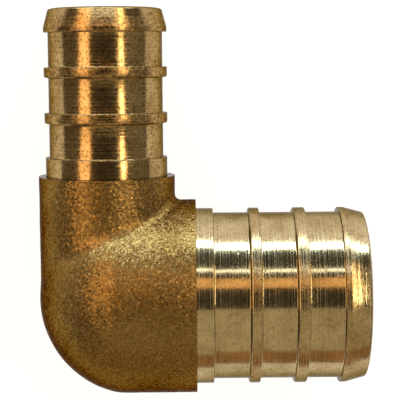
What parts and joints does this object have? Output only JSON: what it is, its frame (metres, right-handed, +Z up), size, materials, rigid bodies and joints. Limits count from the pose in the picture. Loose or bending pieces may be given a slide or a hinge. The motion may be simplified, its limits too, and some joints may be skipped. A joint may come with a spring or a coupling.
{
  "type": "pex crimp elbow",
  "caption": "Brass right-angle reducing elbow whose ribbed crimp spigots join a larger and a smaller plastic pipe.",
  "frame": {"origin": "where the axes of the two legs cross, inside the barrel", "axes": "+X out along the large leg; +Y and a little down along the small leg; +Z up, as it rests on its side"},
  "size_m": [0.0321, 0.0384, 0.0192],
  "materials": {
    "brass": "forged body blasted matt, spigots turned bright"
  },
  "bodies": {
    "root": {"reducing_elbow": "brass"}
  },
  "joints": []
}
